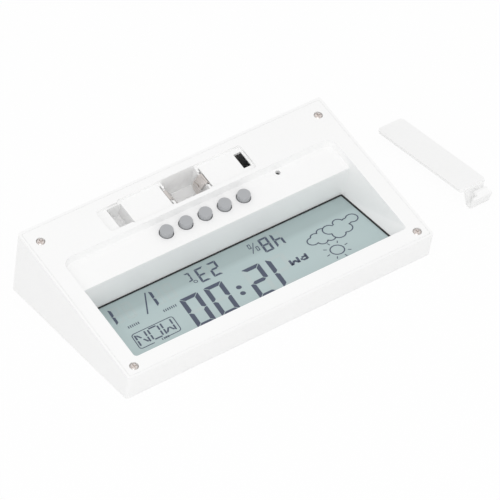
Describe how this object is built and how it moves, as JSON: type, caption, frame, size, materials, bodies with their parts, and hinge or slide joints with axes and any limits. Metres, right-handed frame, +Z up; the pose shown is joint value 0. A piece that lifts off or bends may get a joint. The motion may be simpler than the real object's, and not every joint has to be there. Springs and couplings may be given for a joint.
{
  "type": "digital alarm clock",
  "caption": "Wedge-shaped desk alarm clock with a sunken liquid-crystal readout, round keys, a reset pinhole and an open battery recess, with its cover lying beside it.",
  "frame": {"origin": "centre of the clock's large flat face, on the surface that it lies on", "axes": "+X along the clock's long side, +Y from the thin end to the thick end, +Z up, out of the sloped face's side"},
  "size_m": [0.1922, 0.0908, 0.0355],
  "materials": {
    "case_white": "fine satin moulded",
    "plate_white": "fine satin moulded",
    "cover_white": "fine satin moulded",
    "key_grey": "satin",
    "screw_nickel": "nickel plated",
    "contact_nickel": "nickel plated spring strip",
    "gasket_black": "matt",
    "display_film": "satin grey-green film",
    "display_glass": "clear",
    "reflector_silver": "silver film",
    "holder_grey": "moulded",
    "strip_rubber": "matt",
    "board_green": "solder resist over glass fibre",
    "resin_black": "epoxy",
    "can_steel": "tinned can",
    "sleeve_blue": "shrunk sleeve",
    "chip_dark": "ceramic",
    "buzzer_black": "moulded",
    "sensor_white": "moulded",
    "silicone_grey": "translucent silicone",
    "carbon_rubber": "matt",
    "ribbon_grey": "flat cable",
    "wire_red": "wire sleeve",
    "wire_black": "wire sleeve",
    "switch_steel": "stamped"
  },
  "bodies": {
    "case": {"case_shell": "case_white", "top_plate": "plate_white", "corner_screws": "screw_nickel", "display_gasket": "gasket_black", "front_polariser": "display_film", "front_glass": "display_glass", "rear_glass": "display_glass", "rear_reflector": "reflector_silver", "display_holder": "holder_grey", "zebra_strips": "strip_rubber", "main_board": "board_green", "board_screws": "screw_nickel", "chip_blob": "resin_black", "clock_crystal": "can_steel", "filter_capacitor": "sleeve_blue", "chip_resistors": "chip_dark", "buzzer": "buzzer_black", "temperature_sensor": "resin_black", "humidity_sensor": "sensor_white", "key_board": "board_green", "key_board_screws": "screw_nickel", "key_mat": "silicone_grey", "link_ribbon": "ribbon_grey", "negative_contact": "contact_nickel", "spring_contact": "contact_nickel", "red_wire": "wire_red", "black_wire": "wire_black", "reset_switch": "switch_steel"},
    "key_1": {"button_1": "key_grey", "contact_pill_1": "carbon_rubber"},
    "key_2": {"button_2": "key_grey", "contact_pill_2": "carbon_rubber"},
    "key_3": {"button_3": "key_grey", "contact_pill_3": "carbon_rubber"},
    "key_4": {"button_4": "key_grey", "contact_pill_4": "carbon_rubber"},
    "key_5": {"button_5": "key_grey", "contact_pill_5": "carbon_rubber"},
    "reset_key": {"reset_plunger": "chip_dark"},
    "cover": {"battery_cover": "cover_white"}
  },
  "joints": [
    {"name": "key_1_press", "type": "slide", "parent": "case", "child": "key_1", "axis": [0, 0.2672, -0.9636], "range_m": [0, 0.0008], "stiffness_N_per_m": 300},
    {"name": "key_2_press", "type": "slide", "parent": "case", "child": "key_2", "axis": [0, 0.2672, -0.9636], "range_m": [0, 0.0008], "stiffness_N_per_m": 300},
    {"name": "key_3_press", "type": "slide", "parent": "case", "child": "key_3", "axis": [0, 0.2672, -0.9636], "range_m": [0, 0.0008], "stiffness_N_per_m": 300},
    {"name": "key_4_press", "type": "slide", "parent": "case", "child": "key_4", "axis": [0, 0.2672, -0.9636], "range_m": [0, 0.0008], "stiffness_N_per_m": 300},
    {"name": "key_5_press", "type": "slide", "parent": "case", "child": "key_5", "axis": [0, 0.2672, -0.9636], "range_m": [0, 0.0008], "stiffness_N_per_m": 300},
    {"name": "reset_press", "type": "slide", "parent": "case", "child": "reset_key", "axis": [0, 0.2672, -0.9636], "range_m": [0, 0.0003], "stiffness_N_per_m": 400},
    {"name": "cover_lift", "type": "slide", "parent": "case", "child": "cover", "axis": [0, 0, 1], "range_m": [0, 0.03]}
  ]
}
